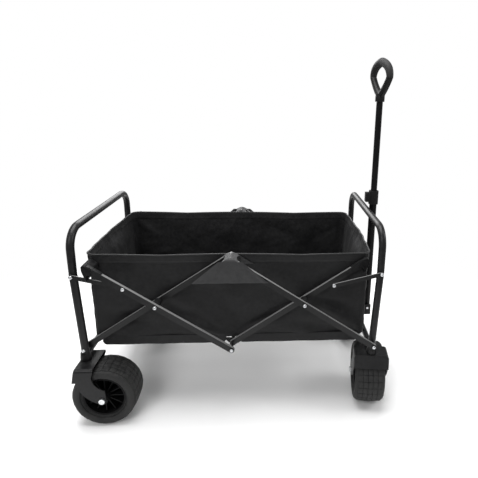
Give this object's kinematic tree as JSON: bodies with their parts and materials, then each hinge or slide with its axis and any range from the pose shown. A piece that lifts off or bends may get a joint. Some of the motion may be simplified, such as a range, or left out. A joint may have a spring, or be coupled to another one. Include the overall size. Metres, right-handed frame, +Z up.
{
  "type": "folding camping cart",
  "caption": "Black collapsible utility wagon: cloth basket on a double-X scissor frame with two tube arches, swivel casters with wide tyres and a telescopic pull handle.",
  "frame": {"origin": "on the floor, midway between the four caster swivel axes", "axes": "+X to the front where the pull handle stands, +Y to the left side, +Z up"},
  "size_m": [0.9622, 0.597, 1.094],
  "materials": {
    "basket_cloth": "heavy coated polyester weave, matt",
    "tyre_rubber": "dusty black rubber",
    "wheel_plastic": "moulded, fine texture",
    "fork_steel": "satin black powder coat",
    "zinc_rivet": "bright zinc plate",
    "socket_plastic": "black",
    "black_plastic": "moulded black",
    "collar_plastic": "moulded black, satin",
    "grip_plastic": "moulded, textured",
    "handle_tube": "satin black powder coat",
    "link_steel": "satin black powder coat",
    "frame_steel": "satin black powder coat"
  },
  "bodies": {
    "rear_frame": {"rear_arch": "frame_steel", "rear_cross_bar": "frame_steel", "rear_caster_kingpins": "socket_plastic", "rear_frame_pins": "zinc_rivet", "basket_floor": "basket_cloth", "basket_right_side": "basket_cloth", "basket_left_side": "basket_cloth", "basket_rear_end": "basket_cloth", "basket_front_end": "basket_cloth"},
    "rear_foot_link_pair": {"rear_foot_links": "link_steel", "rear_middle_pins": "zinc_rivet", "rear_middle_spacers": "black_plastic", "top_pins": "zinc_rivet"},
    "rear_corner_link_pair": {"rear_corner_links": "link_steel", "rear_corner_caps": "black_plastic", "bottom_centre_bar": "frame_steel"},
    "rear_strut_pair": {"rear_struts": "link_steel"},
    "front_foot_link_pair": {"front_foot_links": "link_steel", "front_middle_pins": "zinc_rivet", "front_middle_spacers": "black_plastic"},
    "front_corner_link_pair": {"front_corner_links": "link_steel", "front_corner_caps": "black_plastic"},
    "front_frame": {"front_arch": "frame_steel", "front_cross_bar": "frame_steel", "front_caster_kingpins": "socket_plastic", "front_frame_pins": "zinc_rivet", "handle_bracket": "frame_steel", "handle_pin": "zinc_rivet"},
    "front_strut_pair": {"front_struts": "link_steel"},
    "handle_lower": {"handle_outer_tube": "handle_tube", "handle_lock_collar": "collar_plastic"},
    "handle_upper": {"handle_inner_tube": "handle_tube", "handle_grip": "grip_plastic"},
    "rear_right_caster": {"rear_right_caster_fork": "fork_steel", "rear_right_axle_bolt": "zinc_rivet"},
    "rear_right_wheel_body": {"rear_right_wheel": "wheel_plastic", "rear_right_tyre": "tyre_rubber"},
    "rear_left_caster": {"rear_left_caster_fork": "fork_steel", "rear_left_axle_bolt": "zinc_rivet"},
    "rear_left_wheel_body": {"rear_left_wheel": "wheel_plastic", "rear_left_tyre": "tyre_rubber"},
    "front_right_caster": {"front_right_caster_fork": "fork_steel", "front_right_axle_bolt": "zinc_rivet"},
    "front_right_wheel_body": {"front_right_wheel": "wheel_plastic", "front_right_tyre": "tyre_rubber"},
    "front_left_caster": {"front_left_caster_fork": "fork_steel", "front_left_axle_bolt": "zinc_rivet"},
    "front_left_wheel_body": {"front_left_wheel": "wheel_plastic", "front_left_tyre": "tyre_rubber"}
  },
  "joints": [
    {"name": "fold", "type": "hinge", "parent": "rear_frame", "child": "rear_foot_link_pair", "pos_m": [-0.43, 0, 0.232], "axis": [0, -1, 0], "range_deg": [0, 37.5], "deforming": ["basket_floor", "basket_right_side", "basket_left_side", "basket_rear_end", "basket_front_end"]},
    {"name": "top_pivot", "type": "hinge", "parent": "rear_foot_link_pair", "child": "front_foot_link_pair", "pos_m": [0, 0, 0.518], "axis": [0, -1, 0], "range_deg": [-75, 0]},
    {"name": "front_foot_pivot", "type": "hinge", "parent": "front_foot_link_pair", "child": "front_frame", "pos_m": [0.43, 0, 0.232], "axis": [0, -1, 0], "range_deg": [0, 37.5]},
    {"name": "rear_middle_pivot", "type": "hinge", "parent": "rear_foot_link_pair", "child": "rear_corner_link_pair", "pos_m": [-0.215, 0, 0.375], "axis": [0, -1, 0], "range_deg": [-75, 0]},
    {"name": "front_middle_pivot", "type": "hinge", "parent": "front_foot_link_pair", "child": "front_corner_link_pair", "pos_m": [0.215, 0, 0.375], "axis": [0, -1, 0], "range_deg": [0, 75]},
    {"name": "rear_strut_pivot", "type": "hinge", "parent": "rear_frame", "child": "rear_strut_pair", "pos_m": [-0.4415, 0, 0.467], "axis": [0, -1, 0], "range_deg": [0, 80.25]},
    {"name": "front_strut_pivot", "type": "hinge", "parent": "front_frame", "child": "front_strut_pair", "pos_m": [0.4415, 0, 0.467], "axis": [0, -1, 0], "range_deg": [-80.25, 0]},
    {"name": "handle_hinge", "type": "hinge", "parent": "front_frame", "child": "handle_lower", "pos_m": [0.467, 0, 0.226], "axis": [0, 1, 0], "range_deg": [0, 95]},
    {"name": "handle_slide", "type": "slide", "parent": "handle_lower", "child": "handle_upper", "axis": [0, 0, -1], "range_m": [0, 0.22]},
    {"name": "rear_right_swivel", "type": "hinge", "parent": "rear_frame", "child": "rear_right_caster", "pos_m": [-0.43, -0.24, 0.196], "axis": [0, 0, 1], "continuous": true},
    {"name": "rear_right_wheel_spin", "type": "hinge", "parent": "rear_right_caster", "child": "rear_right_wheel_body", "pos_m": [-0.3735, -0.24, 0.0937], "axis": [0, 1, 0], "continuous": true},
    {"name": "rear_left_swivel", "type": "hinge", "parent": "rear_frame", "child": "rear_left_caster", "pos_m": [-0.43, 0.24, 0.196], "axis": [0, 0, 1], "continuous": true},
    {"name": "rear_left_wheel_spin", "type": "hinge", "parent": "rear_left_caster", "child": "rear_left_wheel_body", "pos_m": [-0.3735, 0.24, 0.0937], "axis": [0, 1, 0], "continuous": true},
    {"name": "front_right_swivel", "type": "hinge", "parent": "front_frame", "child": "front_right_caster", "pos_m": [0.43, -0.24, 0.196], "axis": [0, 0, 1], "continuous": true},
    {"name": "front_right_wheel_spin", "type": "hinge", "parent": "front_right_caster", "child": "front_right_wheel_body", "pos_m": [0.43591, -0.18381, 0.0937], "axis": [-0.9945, 0.1045, 0], "continuous": true},
    {"name": "front_left_swivel", "type": "hinge", "parent": "front_frame", "child": "front_left_caster", "pos_m": [0.43, 0.24, 0.196], "axis": [0, 0, 1], "continuous": true},
    {"name": "front_left_wheel_spin", "type": "hinge", "parent": "front_left_caster", "child": "front_left_wheel_body", "pos_m": [0.43591, 0.18381, 0.0937], "axis": [0.9945, 0.1045, 0], "continuous": true}
  ],
  "couplings": [
    {"joint": "top_pivot", "follows": "fold", "ratio": -2},
    {"joint": "front_foot_pivot", "follows": "fold", "ratio": 1},
    {"joint": "rear_middle_pivot", "follows": "fold", "ratio": -2},
    {"joint": "front_middle_pivot", "follows": "fold", "ratio": 2},
    {"joint": "rear_strut_pivot", "follows": "fold", "ratio": 2.14},
    {"joint": "front_strut_pivot", "follows": "fold", "ratio": -2.14}
  ]
}
